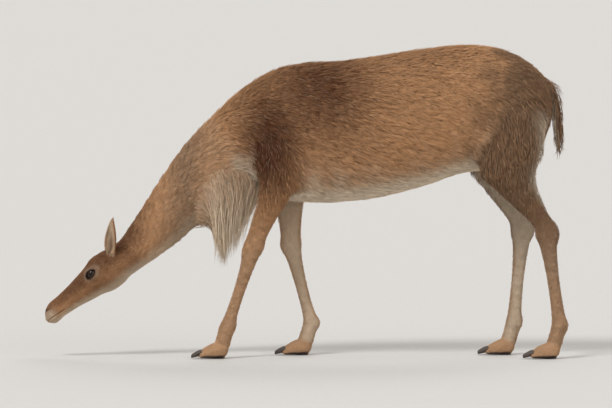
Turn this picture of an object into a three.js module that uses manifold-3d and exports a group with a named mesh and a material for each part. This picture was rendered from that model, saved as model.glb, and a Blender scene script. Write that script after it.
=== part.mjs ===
// A life-size vicuna standing with its head down to graze, divided into its body parts.
// Millimetres, +Z up. The head points along -X and the animal's left side faces -Y.
import * as THREE from "three";
import { mergeVertices } from "three/addons/utils/BufferGeometryUtils.js";
import Module from "manifold-3d";

const wasm = await Module();
wasm.setup();

// Driving dimensions.
const bodyShift = 239.9; // moves the middle of the animal's length onto x = 0
const seamGap = 0.4; // clear gap between neighbouring parts
const headSlope = 38; // degrees that the face points below the horizontal
const pollX = -745; // top of the neck, where the head is carried
const pollZ = 262;
const eyeRadius = 19;
const earLength = 104;
const earSplay = 24; // degrees that each ear leans outwards
const earLean = 46; // degrees that each ear leans back from the forehead's normal
const toeLength = 82;
const toeSpread = 13; // half the distance between the two toes of a foot
const nailLength = 25;

const degrees = Math.PI / 180;
const left = -1;
const right = 1;

const fawn = new THREE.MeshStandardMaterial({ color: 0x9d7350, roughness: 0.95, metalness: 0 });
const pale = new THREE.MeshStandardMaterial({ color: 0xd9cdbb, roughness: 0.95, metalness: 0 });
const eyeBrown = new THREE.MeshStandardMaterial({ color: 0x1b110b, roughness: 0.08, metalness: 0 });
const horn = new THREE.MeshStandardMaterial({ color: 0x2b2420, roughness: 0.55, metalness: 0 });

// A section is a closed ring: its middle, its half width vector u, its half depth vector v,
// how square it is (2 is an ellipse) and how much broader it is on the v side.
const section = (middle, u, v, square = 2, egg = 0) => [...middle, ...u, ...v, square, egg];

// Uniform Catmull-Rom through rows of numbers, the end rows mirrored past each end.
function smoothRows(rows, perSpan) {
  const mirrored = (a, b) => a.map((value, k) => 2 * value - b[k]);
  const last = rows.length - 1;
  const all = [mirrored(rows[0], rows[1]), ...rows, mirrored(rows[last], rows[last - 1])];
  const made = [];
  for (let span = 0; span < last; span += 1) {
    const [before, from, to, after] = all.slice(span, span + 4);
    for (let step = 0; step < perSpan; step += 1) {
      const t = step / perSpan;
      made.push(from.map((value, k) => 0.5 * (2 * value + (to[k] - before[k]) * t
        + (2 * before[k] - 5 * value + 4 * to[k] - after[k]) * t * t
        + (3 * value - before[k] - 3 * to[k] + after[k]) * t * t * t)));
    }
  }
  return [...made, rows[last]];
}

function ringPoints(row, sides) {
  const [cx, cy, cz, ux, uy, uz, vx, vy, vz, square, egg] = row;
  const middle = new THREE.Vector3(cx, cy, cz);
  const u = new THREE.Vector3(ux, uy, uz);
  const v = new THREE.Vector3(vx, vy, vz);
  return Array.from({ length: sides }, (_, side) => {
    const angle = (2 * Math.PI * side) / sides;
    const bend = (value) => Math.sign(value) * Math.abs(value) ** (2 / square);
    const across = bend(Math.cos(angle)) * (1 + egg * Math.sin(angle));
    return middle.clone().addScaledVector(u, across).addScaledVector(v, bend(Math.sin(angle)));
  });
}

// A closed solid over a run of sections, each end shut by a fan about its middle.
// The run goes the way that u cross v points. grow moves the surface out along its normals.
function loft(rows, { perSpan = 2, sides = 16, grow = 0 } = {}) {
  const smooth = smoothRows(rows, perSpan);
  const rings = smooth.map((row) => ringPoints(row, sides));
  const ends = [smooth[0], smooth.at(-1)].map((row) => new THREE.Vector3(row[0], row[1], row[2]));
  const points = [...rings.flat(), ...ends];
  const faces = [];
  rings.slice(1).forEach((_, ring) => {
    for (let side = 0; side < sides; side += 1) {
      const next = (side + 1) % sides;
      const [a, b] = [ring * sides + side, ring * sides + next];
      faces.push(a, b, b + sides, a, b + sides, a + sides);
    }
  });
  const lastRing = (rings.length - 1) * sides;
  for (let side = 0; side < sides; side += 1) {
    const next = (side + 1) % sides;
    faces.push(points.length - 2, next, side);
    faces.push(points.length - 1, lastRing + side, lastRing + next);
  }
  const geometry = new THREE.BufferGeometry().setFromPoints(points).setIndex(faces);
  geometry.computeVertexNormals();
  const { position, normal } = geometry.attributes;
  position.array.forEach((value, k) => {
    position.array[k] = value + grow * normal.array[k];
  });
  return solid(geometry);
}

function solid(geometry) {
  geometry.deleteAttribute("normal");
  geometry.deleteAttribute("uv");
  const merged = mergeVertices(geometry, 1e-3);
  return new wasm.Manifold(new wasm.Mesh({
    numProp: 3,
    vertProperties: merged.attributes.position.array,
    triVerts: new Uint32Array(merged.index.array),
  }));
}

function ball(middle, radii, turn, segments) {
  const geometry = new THREE.SphereGeometry(1, ...segments);
  geometry.scale(...radii);
  geometry.applyMatrix4(new THREE.Matrix4().makeRotationFromEuler(turn));
  geometry.translate(...middle);
  return solid(geometry);
}

function block(middle, size, turn = new THREE.Euler()) {
  const geometry = new THREE.BoxGeometry(...size);
  geometry.applyMatrix4(new THREE.Matrix4().makeRotationFromEuler(turn));
  geometry.translate(...middle);
  return solid(geometry);
}

// Side view of the head: s runs from the poll to the lips, h stands out towards the forehead.
const faceX = Math.cos(headSlope * degrees);
const faceZ = Math.sin(headSlope * degrees);
const onHead = (s, h, y = 0) => [pollX - s * faceX - h * faceZ, y, pollZ - s * faceZ + h * faceX];
const headTurn = new THREE.Euler(0, (headSlope - 180) * degrees, 0);

// A section across the body, from its top and bottom point in side view, [x, z].
function bodySection(top, bottom, halfWidth, square, egg) {
  const middle = [(top[0] + bottom[0]) / 2, 0, (top[1] + bottom[1]) / 2];
  const v = [(top[0] - bottom[0]) / 2, 0, (top[1] - bottom[1]) / 2];
  return section(middle, [0, -halfWidth, 0], v, square, egg);
}

function headSection(s, forehead, jaw, halfWidth, square, egg) {
  const [topX, , topZ] = onHead(s, forehead);
  const [bottomX, , bottomZ] = onHead(s, -jaw);
  return bodySection([topX, topZ], [bottomX, bottomZ], halfWidth, square, egg);
}

const trunkSections = [
  bodySection([428, 690], [426, 650], 22, 2, 0), // seat bones
  bodySection([420, 737], [412, 600], 62, 2, 0), // root of the tail
  bodySection([390, 780], [384, 556], 98, 2.1, 0),
  bodySection([334, 820], [330, 522], 124, 2.2, 0), // croup
  bodySection([264, 844], [258, 504], 134, 2.2, -0.04), // hips
  bodySection([178, 850], [170, 486], 134, 2.2, -0.06), // flank, drawn up
  bodySection([80, 840], [70, 452], 143, 2.2, -0.08), // loin
  bodySection([-40, 822], [-45, 424], 149, 2.2, -0.08), // last ribs
  bodySection([-150, 807], [-150, 412], 144, 2.2, -0.06), // girth
  bodySection([-245, 801], [-242, 412], 134, 2.2, -0.04), // withers
  bodySection([-332, 780], [-322, 424], 122, 2.1, 0), // shoulders
  bodySection([-410, 735], [-392, 450], 106, 2, 0), // breast
];
const neckSections = [
  bodySection([-490, 664], [-432, 448], 86, 2, 0), // root of the neck
  bodySection([-573, 575], [-462, 426], 69, 2, 0),
  bodySection([-640, 480], [-520, 370], 59, 2, 0),
  bodySection([-697, 390], [-592, 306], 51, 2, 0),
];
const headSections = [
  headSection(-38, 46, 54, 44, 2, 0), // nape and throat
  headSection(0, 46, 52, 45, 2, 0.04), // poll
  headSection(32, 51, 56, 49, 2.1, 0.08), // braincase and angle of the jaw
  headSection(62, 52, 54, 52, 2.2, 0.12), // brows
  headSection(92, 43, 45, 45, 2.2, 0.12), // cheeks
  headSection(124, 36, 39, 36, 2.2, 0.06),
  headSection(158, 30, 32, 29, 2.2, 0), // bridge of the nose
  headSection(194, 27, 28, 27, 2.3, 0),
  headSection(222, 26, 28, 28, 2.3, 0), // nostrils
  headSection(242, 17, 26, 25, 2.3, 0), // lips
  headSection(253, 4, 17, 15, 2.1, 0),
  headSection(257, -3, 11, 7, 2, 0),
];
const bodyOutline = [...trunkSections, ...neckSections, ...headSections];
const bodyLoft = (grow) => loft(bodyOutline, { sides: 18, grow });

// Legs: level sections from the top down, each [x, z, half length, half width, y].
const footBelow = (x, y) => [
  [x + 2, 62, 22, 23, y],
  [x - 6, 36, 23, 25, y],
  [x - 14, 14, 22, 24, y],
  [x - 16, -4, 18, 20, y],
];
function foreleg({ elbow, knee, fetlock }) {
  const along = (a, b, share) => a + (b - a) * share;
  return [
    [-322, 665, 46, 30, 74],
    [-326, 600, 76, 42, 82],
    [-316, 542, 80, 45, 86],
    [elbow - 2, 492, 66, 42, 86],
    [along(elbow, knee, 0.22), 440, 48, 34, 84],
    [along(elbow, knee, 0.55), 385, 36, 29, 81],
    [along(elbow, knee, 0.85), 330, 28.5, 26.5, 79],
    [knee, 294, 28, 27, 78],
    [along(knee, fetlock, 0.2), 252, 21, 21, 77],
    [along(knee, fetlock, 0.55), 180, 17, 16.5, 76],
    [along(knee, fetlock, 0.85), 120, 18, 18, 75],
    [fetlock, 90, 22.5, 22, 75],
    ...footBelow(fetlock - 10, 75),
  ];
}
function hindleg({ stifle, hock, fetlock }) {
  const along = (a, b, share) => a + (b - a) * share;
  return [
    [322, 750, 52, 34, 66],
    [320, 690, 88, 50, 80],
    [316, 625, 102, 54, 88],
    [stifle + 72, 558, 98, 51, 92],
    [stifle + 68, 504, 82, 45, 94],
    [along(stifle + 66, hock, 0.28), 455, 60, 36, 94],
    [along(stifle + 66, hock, 0.62), 405, 42, 28, 92],
    [along(stifle + 66, hock, 0.92), 362, 31, 23, 90],
    [hock, 332, 30, 22, 89],
    [along(hock, fetlock, 0.14), 298, 23, 20, 88],
    [along(hock, fetlock, 0.5), 215, 17.5, 16.5, 86],
    [along(hock, fetlock, 0.86), 130, 18.5, 18, 84],
    [fetlock, 93, 22.5, 22, 83],
    ...footBelow(fetlock - 10, 83),
  ];
}
const stance = {
  foreleg_left: { side: left, outline: foreleg({ elbow: -308, knee: -384, fetlock: -452 }) },
  foreleg_right: { side: right, outline: foreleg({ elbow: -290, knee: -280, fetlock: -226 }) },
  hindleg_left: { side: left, outline: hindleg({ stifle: 236, hock: 412, fetlock: 446 }) },
  hindleg_right: { side: right, outline: hindleg({ stifle: 212, hock: 348, fetlock: 326 }) },
};

// One toe of a foot: a long pad that is highest behind and low at its tip.
function toeSections(heelX, y, splay) {
  const shape = [
    [0, 22, 8, 9],
    [0.16, 24, 13, 19],
    [0.45, 22, 14, 22],
    [0.75, 16, 12.5, 16],
    [0.93, 11, 9, 10],
    [1, 9, 4, 4],
  ];
  return shape.map(([share, z, halfWidth, halfHeight]) => section(
    [heelX - share * toeLength, y + splay * share * 5, z],
    [0, -halfWidth, 0],
    [0, 0, halfHeight],
    2.2,
    -0.1,
  ));
}

// A nail caps the front of a toe and curves down to a point.
function nailSections(heelX, y, splay) {
  const tip = heelX - toeLength;
  const shape = [
    [16, 18, 8.5, 7],
    [8, 17, 8.5, 8],
    [-2, 13, 7, 7.5],
    [8 - nailLength, 7.5, 3.6, 4],
    [14 - nailLength * 1.3, 4.5, 1.2, 1.2],
  ];
  return shape.map(([ahead, z, halfWidth, halfHeight]) => section(
    [tip + ahead, y + splay * 5, z],
    [0, -halfWidth, 0],
    [0, 0, halfHeight],
  ));
}

const floorCut = block([0, 0, -60], [2400, 800, 120]);
const toesOf = ({ side, outline }) => {
  const [heelX, , , , y] = outline.at(-2);
  return [left, right].map((way) => [heelX + 26, side * y + way * toeSpread, way]);
};
function legLoft(leg, grow) {
  const rows = leg.outline.map(([x, z, halfLength, halfWidth, y]) => section(
    [x, leg.side * y, z],
    [0, halfWidth, 0],
    [halfLength, 0, 0],
  ));
  const toes = toesOf(leg).map((toe) => loft(toeSections(...toe), { perSpan: 1, sides: 6, grow }));
  return toes.reduce((whole, toe) => whole.add(toe), loft(rows, { sides: 10, grow }))
    .subtract(floorCut);
}

// The tail hangs close behind the rump. Its sections run from the tip up to the root.
const tailSections = [
  bodySection([448, 548], [442, 550], 5, 2, 0),
  bodySection([457, 574], [432, 576], 19, 2, 0),
  bodySection([463, 622], [420, 618], 30, 2, 0),
  bodySection([462, 676], [412, 662], 35, 2, 0),
  bodySection([451, 728], [410, 690], 34, 2, 0),
  bodySection([428, 764], [408, 712], 30, 2, 0),
  bodySection([388, 778], [388, 730], 22, 2, 0),
];

// Long white hair under the breast and the root of the neck, from the top down:
// [x, z, half length, half width].
const chestHairOutline = [
  [-404, 520, 54, 40],
  [-446, 452, 104, 54],
  [-462, 396, 108, 50],
  [-466, 335, 84, 40],
  [-462, 278, 56, 26],
  [-458, 238, 20, 10],
];
const chestHairLoft = () => loft(chestHairOutline.map(([x, z, halfLength, halfWidth]) => section(
  [x, 0, z],
  [0, halfWidth, 0],
  [halfLength, 0, 0],
)), { sides: 10 });

// An ear is a pointed leaf, hollowed from its front. Its axis leaves the head at earRoot.
function earShape(side) {
  const earRoot = new THREE.Vector3(...onHead(14, 30, side * 31));
  const forehead = new THREE.Vector3(-faceZ, 0, faceX);
  const nape = new THREE.Vector3(faceX, 0, faceZ);
  const axis = forehead.multiplyScalar(Math.cos(earLean * degrees))
    .addScaledVector(nape, Math.sin(earLean * degrees));
  axis.multiplyScalar(Math.cos(earSplay * degrees))
    .add(new THREE.Vector3(0, side * Math.sin(earSplay * degrees), 0));
  const outward = new THREE.Vector3(-0.55, side * 0.8, 0);
  const mouth = outward.addScaledVector(axis, -outward.dot(axis)).normalize();
  const broad = new THREE.Vector3().crossVectors(mouth, axis);
  const leaf = (share, halfWidth, halfDepth, forward) => section(
    earRoot.clone().addScaledVector(axis, share * earLength)
      .addScaledVector(mouth, forward).toArray(),
    broad.clone().multiplyScalar(halfWidth).toArray(),
    mouth.clone().multiplyScalar(halfDepth).toArray(),
  );
  const outside = [
    leaf(-0.12, 12, 11, -1),
    leaf(0.06, 16, 13.5, -1),
    leaf(0.26, 20.5, 12, 0),
    leaf(0.48, 20, 9, 2),
    leaf(0.7, 14.5, 6.5, 4),
    leaf(0.88, 8, 4, 5),
    leaf(1, 1.6, 1.4, 5),
  ];
  const hollow = [
    leaf(0.1, 5, 4, 12),
    leaf(0.24, 14.5, 11, 9),
    leaf(0.48, 15.5, 9, 8),
    leaf(0.7, 10.5, 6, 8),
    leaf(0.86, 4.5, 3, 8),
    leaf(0.93, 1.2, 1, 8),
  ];
  return loft(outside, { perSpan: 1, sides: 10 }).subtract(loft(hollow, { perSpan: 1, sides: 8 }));
}

// Shallow line of the mouth and the slits of the nostrils.
function faceCuts() {
  const lipLine = block(onHead(224, -9), [76, 80, 1.6], headTurn);
  const muzzleCore = bodyLoft(-3.5);
  const nostrils = [left, right].map((side) => ball(
    onHead(236, 11, side * 15.5),
    [8.5, 4.5, 2.6],
    new THREE.Euler(0, (headSlope - 150) * degrees, side * 0.5),
    [12, 8],
  ));
  return nostrils.reduce((all, slit) => all.add(slit), lipLine.subtract(muzzleCore));
}

// The whole body is one solid, parted by thin cuts at the root of the neck and behind the jaw.
const eyeMiddle = (side) => onHead(80, 18, side * 34);
const eyeball = (side, grow = 0) => ball(
  eyeMiddle(side),
  Array(3).fill(eyeRadius + grow),
  new THREE.Euler(),
  [12, 8],
);
function bodyParts() {
  const neckCut = block([-432, 0, 596], [seamGap, 400, 520], new THREE.Euler(0, -11 * degrees, 0));
  const jawCut = block(
    onHead(-26, -4),
    [seamGap, 200, 200],
    new THREE.Euler(0, (90 - headSlope) * degrees - Math.PI / 2, 0),
  );
  const whole = [left, right].reduce(
    (body, side) => body.subtract(eyeball(side, seamGap)),
    bodyLoft(0).subtract(faceCuts()),
  );
  const pieces = whole.subtract(neckCut).subtract(jawCut).decompose();
  const byFront = (a, b) => a.boundingBox().min[0] - b.boundingBox().min[0];
  const [head, neck, trunk] = pieces.sort(byFront);
  return { head, neck, trunk };
}

function meshOf(name, shape, material) {
  const made = shape.getMesh();
  const places = new Float32Array(made.numVert * 3);
  for (let vertex = 0; vertex < made.numVert; vertex += 1) {
    const start = vertex * made.numProp;
    places.set(made.vertProperties.subarray(start, start + 3), vertex * 3);
  }
  const geometry = new THREE.BufferGeometry();
  geometry.setAttribute("position", new THREE.BufferAttribute(places, 3));
  geometry.setIndex(new THREE.BufferAttribute(made.triVerts, 1));
  geometry.computeVertexNormals();
  const mesh = new THREE.Mesh(geometry, material);
  mesh.name = name;
  return mesh;
}

const vicuna = new THREE.Group();
vicuna.position.x = bodyShift;

const bodyGrown = bodyLoft(seamGap);
const { head, neck, trunk } = bodyParts();
vicuna.add(meshOf("head", head, fawn));
vicuna.add(meshOf("neck", neck, fawn));
vicuna.add(meshOf("trunk", trunk, fawn));
vicuna.add(meshOf("ear_left", earShape(left).subtract(bodyGrown), fawn));
vicuna.add(meshOf("ear_right", earShape(right).subtract(bodyGrown), fawn));
vicuna.add(meshOf("eye_left", eyeball(left), eyeBrown));
vicuna.add(meshOf("eye_right", eyeball(right), eyeBrown));
vicuna.add(meshOf("tail", loft(tailSections, { sides: 10 }).subtract(bodyGrown), fawn));

let chestHair = chestHairLoft().subtract(bodyGrown);
for (const [name, leg] of Object.entries(stance)) {
  const grown = legLoft(leg, seamGap);
  chestHair = chestHair.subtract(grown);
  vicuna.add(meshOf(name, legLoft(leg, 0).subtract(bodyGrown), fawn));
  toesOf(leg).forEach((toe, index) => {
    const nail = loft(nailSections(...toe), { perSpan: 1, sides: 6 }).subtract(grown).subtract(floorCut);
    vicuna.add(meshOf(`nail_${name}_${index + 1}`, nail, horn));
  });
}
vicuna.add(meshOf("chest_hair", chestHair, pale));

export default vicuna;
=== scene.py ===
# A life-size vicuna with its head down to graze: one skin under a mesh coat, eyes, lashes and nails.
# Metres, +Z up. The head points along -X and the animal's left side faces -Y.
import math

import bpy
import mathutils
import numpy as np
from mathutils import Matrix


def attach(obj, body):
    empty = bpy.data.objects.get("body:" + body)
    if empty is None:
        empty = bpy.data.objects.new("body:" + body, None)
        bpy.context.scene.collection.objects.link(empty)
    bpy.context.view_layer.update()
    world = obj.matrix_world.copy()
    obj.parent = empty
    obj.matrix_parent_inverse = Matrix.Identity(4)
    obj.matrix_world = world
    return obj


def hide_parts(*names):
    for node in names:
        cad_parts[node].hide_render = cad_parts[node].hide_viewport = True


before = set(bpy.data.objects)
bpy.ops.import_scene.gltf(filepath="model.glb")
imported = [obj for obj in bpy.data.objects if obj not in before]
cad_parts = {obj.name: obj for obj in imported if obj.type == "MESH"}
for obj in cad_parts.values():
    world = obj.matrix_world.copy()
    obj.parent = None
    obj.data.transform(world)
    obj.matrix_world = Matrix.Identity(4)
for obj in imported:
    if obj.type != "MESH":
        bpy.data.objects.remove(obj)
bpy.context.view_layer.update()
thin = 1.0
left, right = -1, 1
shift = 239.9  # millimetres that put the middle of the animal's length on x = 0

# Camera, floor and light.
shot = {"distance": 30.0, "elevation": 3.0, "aim": (0.0, 0.0, 0.415), "wide": 1.66}
tilt = math.radians(shot["elevation"])
cameraData = bpy.data.cameras.new("camera")
cameraData.sensor_width = 36
cameraData.lens = 36 * shot["distance"] / shot["wide"]
cameraData.clip_end = 300
camera = bpy.data.objects.new("camera", cameraData)
camera.location = np.array(shot["aim"]) + shot["distance"] * np.array([0, -math.cos(tilt), math.sin(tilt)])
camera.rotation_euler = (math.pi / 2 - tilt, 0, 0)
bpy.context.scene.collection.objects.link(camera)
bpy.context.scene.camera = camera

studio = {  # the way each soft light comes from, its strength, its width in degrees
    "key": {"way": (-0.55, -0.85, 1.05), "strength": 1.75, "wide": 18},
    "fill": {"way": (0.9, -0.8, 0.45), "strength": 0.4, "wide": 45},
    "back": {"way": (0.4, 1.0, 0.9), "strength": 0.6, "wide": 30},
    "room": {"colour": "f3f1ee", "strength": 0.74},
}


def linear(code, alpha=1.0):
    # The shader's own values for a colour written as a web code.
    parts = np.array([int(code[k:k + 2], 16) for k in (0, 2, 4)]) / 255
    return (*np.where(parts < 0.04045, parts / 12.92, ((parts + 0.055) / 1.055) ** 2.4), alpha)


for name in ("key", "fill", "back"):
    lamp = studio[name]
    lampData = bpy.data.lights.new(name, "SUN")
    lampData.energy, lampData.angle = lamp["strength"], math.radians(lamp["wide"])
    light = bpy.data.objects.new(name, lampData)
    light.rotation_euler = mathutils.Vector(lamp["way"]).to_track_quat("Z", "Y").to_euler()
    bpy.context.scene.collection.objects.link(light)

world = bpy.data.worlds.new("room")
world.use_nodes = True
world.node_tree.nodes["Background"].inputs["Color"].default_value = linear(studio["room"]["colour"])
world.node_tree.nodes["Background"].inputs["Strength"].default_value = studio["room"]["strength"]
bpy.context.scene.world = world
bpy.context.scene.view_settings.view_transform = "Standard"


# Meshes from arrays.
def meshObject(name, points, faceSets, part=None):
    # One mesh from a point array and arrays of faces with equal corner counts.
    mesh = bpy.data.meshes.new(name)
    loops = np.concatenate([faces.ravel() for faces in faceSets]).astype(np.int32)
    sizes = np.concatenate([np.full(len(faces), faces.shape[1]) for faces in faceSets])
    mesh.vertices.add(len(points))
    mesh.vertices.foreach_set("co", np.asarray(points, np.float32).ravel())
    mesh.loops.add(len(loops))
    mesh.loops.foreach_set("vertex_index", loops)
    mesh.polygons.add(len(sizes))
    mesh.polygons.foreach_set("loop_start", (np.cumsum(sizes) - sizes).astype(np.int32))
    mesh.polygons.foreach_set("use_smooth", np.ones(len(sizes), bool))
    mesh.update(calc_edges=True)
    if part is not None:
        partMark = mesh.attributes.new("part", "INT", "FACE")
        partMark.data.foreach_set("value", np.full(len(sizes), part, np.int32))
    thing = bpy.data.objects.new(name, mesh)
    bpy.context.scene.collection.objects.link(thing)
    return thing


def smoothRows(rows, spacing):
    # Uniform Catmull-Rom through the rows, the end rows mirrored past each end, in steps of about spacing.
    rows = np.asarray(rows, float)
    padded = np.vstack([2 * rows[0] - rows[1], rows, 2 * rows[-1] - rows[-2]])
    reach = np.linalg.norm(np.diff(rows[:, :3], axis=0), axis=1)
    steps = np.maximum(1, np.ceil(reach / spacing)).astype(int)
    span = np.repeat(np.arange(len(reach)), steps)
    first = np.repeat(np.cumsum(steps) - steps, steps)
    t = ((np.arange(len(span)) - first) / np.repeat(steps, steps))[:, None]
    a, b, c, d = (padded[span + k] for k in range(4))
    made = 0.5 * (2 * b + (c - a) * t + (2 * a - 5 * b + 4 * c - d) * t**2 + (3 * b - a - 3 * c + d) * t**3)
    return np.vstack([made, rows[-1]])


def ringGrid(rows, sides):
    # Rows of middle, u, v, squareness, egg and coat depth give rings: a superellipse whose u side
    # is drawn in or out by egg with height, its corners at equal angles.
    angle = 2 * np.pi * np.arange(sides) / sides
    power = 2 / rows[:, 9:10]
    bend = lambda value: np.sign(value) * np.abs(value) ** power
    across = bend(np.cos(angle)[None]) * (1 + rows[:, 10:11] * np.sin(angle)[None])
    upward = bend(np.sin(angle)[None])
    middle, u, v = rows[:, None, 0:3], rows[:, None, 3:6], rows[:, None, 6:9]
    return middle + across[..., None] * u + upward[..., None] * v


def gridNormals(grid):
    # Outward normals of a tube of rings: the way round crossed with the way along.
    around = np.roll(grid, -1, 1) - np.roll(grid, 1, 1)
    along = np.gradient(grid, axis=0)
    normal = np.cross(around, along)
    return normal / np.maximum(np.linalg.norm(normal, axis=2, keepdims=True), 1e-12)


def tube(grid):
    # Quads between the rings and a fan at each end.
    rings, sides = grid.shape[:2]
    corner = np.arange(rings * sides).reshape(rings, sides)
    turned = np.roll(corner, -1, 1)
    quads = np.stack([corner[:-1], turned[:-1], turned[1:], corner[1:]], -1).reshape(-1, 4)
    start = np.stack([np.full(sides, rings * sides), turned[0], corner[0]], -1)
    end = np.stack([np.full(sides, rings * sides + 1), corner[-1], turned[-1]], -1)
    points = np.vstack([grid.reshape(-1, 3), grid[0].mean(0), grid[-1].mean(0)])
    return points, [quads, np.vstack([start, end])]


def unit(vectors):
    # Each vector over its own length.
    return vectors / np.maximum(np.linalg.norm(vectors, axis=-1, keepdims=True), 1e-12)


def smoothStep(low, high, value):
    # 0 up to low and 1 from high on, or the other way about where low is the larger, on a cubic between.
    t = np.clip((value - low) / (high - low), 0, 1)
    return t * t * (3 - 2 * t)


def bell(*away):
    # Gauss: 1 where every distance, given as a share of its own width, is 0.
    return np.exp(-0.5 * sum(share**2 for share in away))


def between(a, b, part):
    # The value this part of the way from a to b.
    return a + (b - a) * part


def most(*some):
    # The largest of several arrays, point by point.
    return np.maximum.reduce(some)


def waves(points, size, seed, count=9):
    # A sum of plane waves about size long in all directions, and its slope times size.
    source = np.random.default_rng(seed)
    wave = unit(source.normal(size=(count, 3))) * (2 * np.pi / size) * source.uniform(0.75, 1.3, (count, 1))
    phase = points @ wave.T + source.uniform(0, 2 * np.pi, count)
    scale = math.sqrt(count / 2)
    return np.cos(phase).sum(1) / scale, -(np.sin(phase) @ wave) * size / (2 * np.pi * scale)


# The body's sections.
# Side view, millimetres: top x, top z, bottom x, bottom z, half width, squareness, egg, coat depth.
trunkTable = [
    (428, 690, 426, 650, 22, 2, 0, 8),  # seat bones
    (420, 737, 412, 600, 62, 2, 0, 10),  # root of the tail
    (390, 780, 384, 556, 98, 2.1, 0, 12),
    (334, 820, 330, 522, 124, 2.2, 0, 13),  # croup
    (264, 844, 258, 504, 134, 2.2, -0.04, 13),  # hips
    (178, 850, 170, 486, 134, 2.2, -0.06, 14),  # flank
    (80, 840, 70, 452, 143, 2.2, -0.08, 15),  # loin
    (-40, 822, -45, 424, 149, 2.2, -0.08, 15),  # last ribs
    (-150, 807, -150, 412, 144, 2.2, -0.06, 15),  # girth
    (-245, 801, -242, 412, 134, 2.2, -0.04, 15),  # withers
    (-332, 780, -322, 424, 122, 2.1, 0, 15),  # shoulders
    (-410, 735, -392, 450, 106, 2, 0, 15),  # breast
    (-490, 664, -432, 448, 86, 2, 0, 14),  # root of the neck
    (-573, 575, -462, 426, 69, 2, 0, 12),
    (-640, 480, -520, 370, 59, 2, 0, 10),
    (-697, 390, -592, 306, 51, 2, 0, 8),
]
# Along the head from the poll, millimetres: s, forehead, jaw, half width, squareness, egg, coat depth.
headTable = [
    (-38, 46, 54, 44, 2, 0, 6),  # nape and throat
    (0, 46, 52, 45, 2, 0.04, 4.5),  # poll
    (32, 51, 56, 49, 2.1, 0.08, 3.5),  # braincase and angle of the jaw
    (62, 52, 54, 52, 2.2, 0.12, 2.8),  # brows
    (92, 43, 45, 45, 2.2, 0.12, 2.3),  # cheeks
    (124, 36, 39, 36, 2.2, 0.06, 2.0),
    (158, 30, 32, 29, 2.2, 0, 1.6),  # bridge of the nose
    (194, 27, 28, 27, 2.3, 0, 1.3),
    (222, 26, 28, 28, 2.3, 0, 1.0),  # nostrils
    (242, 17, 26, 25, 2.3, 0, 0.8),  # lips
    (253, 4, 17, 15, 2.1, 0, 0.6),
    (257, -3, 11, 7, 2, 0, 0.5),
]
poll = {"x": -745, "z": 262, "slope": math.radians(38)}
faceWay = np.array([-math.cos(poll["slope"]), 0, -math.sin(poll["slope"])])  # poll to lips
crownWay = np.array([-math.sin(poll["slope"]), 0, math.cos(poll["slope"])])  # out of the forehead
pollPoint = np.array([poll["x"] + shift, 0, poll["z"]]) / 1000


def onHead(s, h, y):
    # Metres from the head's own side view in millimetres.
    s, h, y = (np.asarray(value, float)[..., None] / 1000 for value in (s, h, y))
    return pollPoint + s * faceWay + h * crownWay + y * np.array([0, 1, 0])


def headPlace(points):
    # The head's side view in millimetres, back from metres.
    away = (points - pollPoint) * 1000
    return away @ faceWay, away @ crownWay, away[..., 1]


def bodyRows(table):
    # Middle halfway between top and bottom, u across to the left, v up to the top.
    t = np.asarray(table, float)
    rows = np.zeros((len(t), 12))
    rows[:, 0] = (t[:, 0] + t[:, 2]) / 2 + shift
    rows[:, 2] = (t[:, 1] + t[:, 3]) / 2
    rows[:, 4] = -t[:, 4]
    rows[:, 6] = (t[:, 0] - t[:, 2]) / 2
    rows[:, 8] = (t[:, 1] - t[:, 3]) / 2
    rows[:, 9:12] = t[:, 5:8]
    rows[:, [0, 2, 4, 6, 8, 11]] /= 1000
    return rows


def headRows():
    t = np.asarray(headTable, float)
    top, bottom = (onHead(t[:, 0], h, 0 * h) * 1000 for h in (t[:, 1], -t[:, 2]))
    outline = [top[:, 0] - shift, top[:, 2], bottom[:, 0] - shift, bottom[:, 2]]
    return bodyRows(np.column_stack([*outline, t[:, 3:]]))


def levelRows(table, side):
    # Level sections of a leg or tail, millimetres: x, z, half length, half width, y, coat depth.
    t = np.asarray(table, float)
    rows = np.zeros((len(t), 12))
    rows[:, 0], rows[:, 1], rows[:, 2] = t[:, 0] + shift, side * t[:, 4], t[:, 1]
    rows[:, 4], rows[:, 6] = t[:, 3], t[:, 2]
    rows[:, :9] /= 1000
    rows[:, 9], rows[:, 11] = 2, t[:, 5] / 1000
    return rows


def footBelow(x, y):
    # Below the ankle the leg runs forwards into the foot.
    return [
        (x + 2, 62, 22, 23, y, 3), (x - 6, 36, 23, 25, y, 2.5),
        (x - 14, 14, 22, 24, y, 2), (x - 16, -4, 18, 20, y, 1.5),
    ]


def foreleg(elbow, knee, fetlock):
    # Sections from the shoulder down, each joint at the x given.
    return [
        (-322, 665, 46, 30, 74, 14), (-326, 600, 76, 42, 82, 14), (-316, 542, 80, 45, 86, 13),
        (elbow - 2, 492, 66, 42, 86, 11), (between(elbow, knee, 0.22), 440, 48, 34, 84, 8),
        (between(elbow, knee, 0.55), 385, 36, 29, 81, 5.5),
        (between(elbow, knee, 0.85), 330, 28.5, 26.5, 79, 4),
        (knee, 294, 28, 27, 78, 3.5), (between(knee, fetlock, 0.2), 252, 21, 21, 77, 3.2),
        (between(knee, fetlock, 0.55), 180, 17, 16.5, 76, 3),
        (between(knee, fetlock, 0.85), 120, 18, 18, 75, 3),
        (fetlock, 90, 22.5, 22, 75, 3), *footBelow(fetlock - 10, 75),
    ]


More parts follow.
